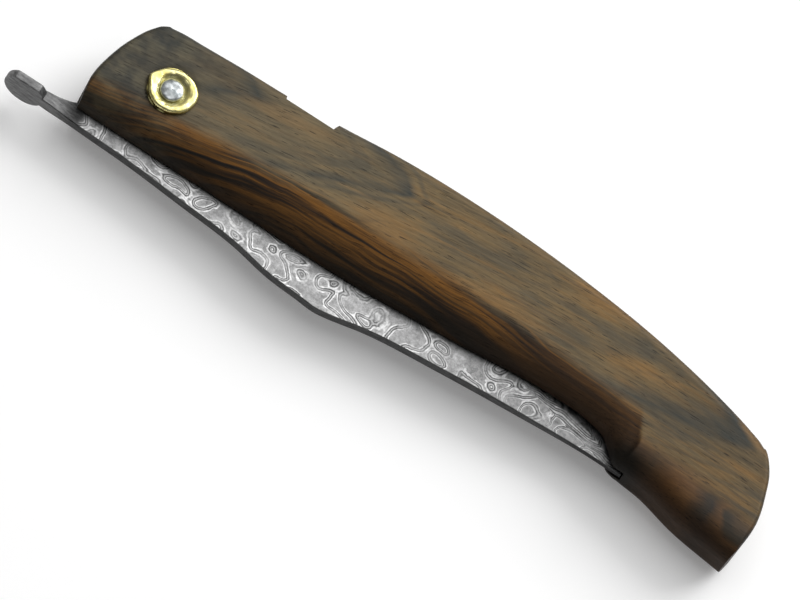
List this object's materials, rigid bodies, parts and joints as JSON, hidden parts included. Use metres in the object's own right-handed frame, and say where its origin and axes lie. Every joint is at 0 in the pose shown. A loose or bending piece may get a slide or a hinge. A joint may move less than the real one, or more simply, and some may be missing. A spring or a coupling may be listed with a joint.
{
  "type": "straight razor",
  "caption": "Folding straight razor: a hollow-ground patterned steel blade pivots into a carved wooden handle and ends in a round thumb tail.",
  "frame": {"origin": "middle of the closed razor's footprint, on the plane that its rear collar reaches down to", "axes": "+X from the pivot end to the butt, +Y from the blade's spine to the handle's back, +Z out of the front scale"},
  "size_m": [0.174, 0.0366, 0.0166],
  "materials": {
    "handle_wood": "oiled dense dark hardwood with streaky figure, satin",
    "blade_steel": "pattern-welded steel, etched, light grey with dark contour lines",
    "pin_steel": "bright peened steel",
    "collar_brass": "hand-filed brass, bright"
  },
  "bodies": {
    "handle": {"front_scale": "handle_wood", "rear_scale": "handle_wood", "butt_wedge": "handle_wood", "pivot_pin": "pin_steel", "front_collar": "collar_brass", "rear_collar": "collar_brass", "front_washer": "collar_brass", "rear_washer": "collar_brass"},
    "blade": {"blade": "blade_steel"}
  },
  "joints": [
    {"name": "blade_pivot", "type": "hinge", "parent": "handle", "child": "blade", "pos_m": [-0.05772, 0.00178, 0.0083], "axis": [0, 0, -1], "range_deg": [0, 180]}
  ]
}
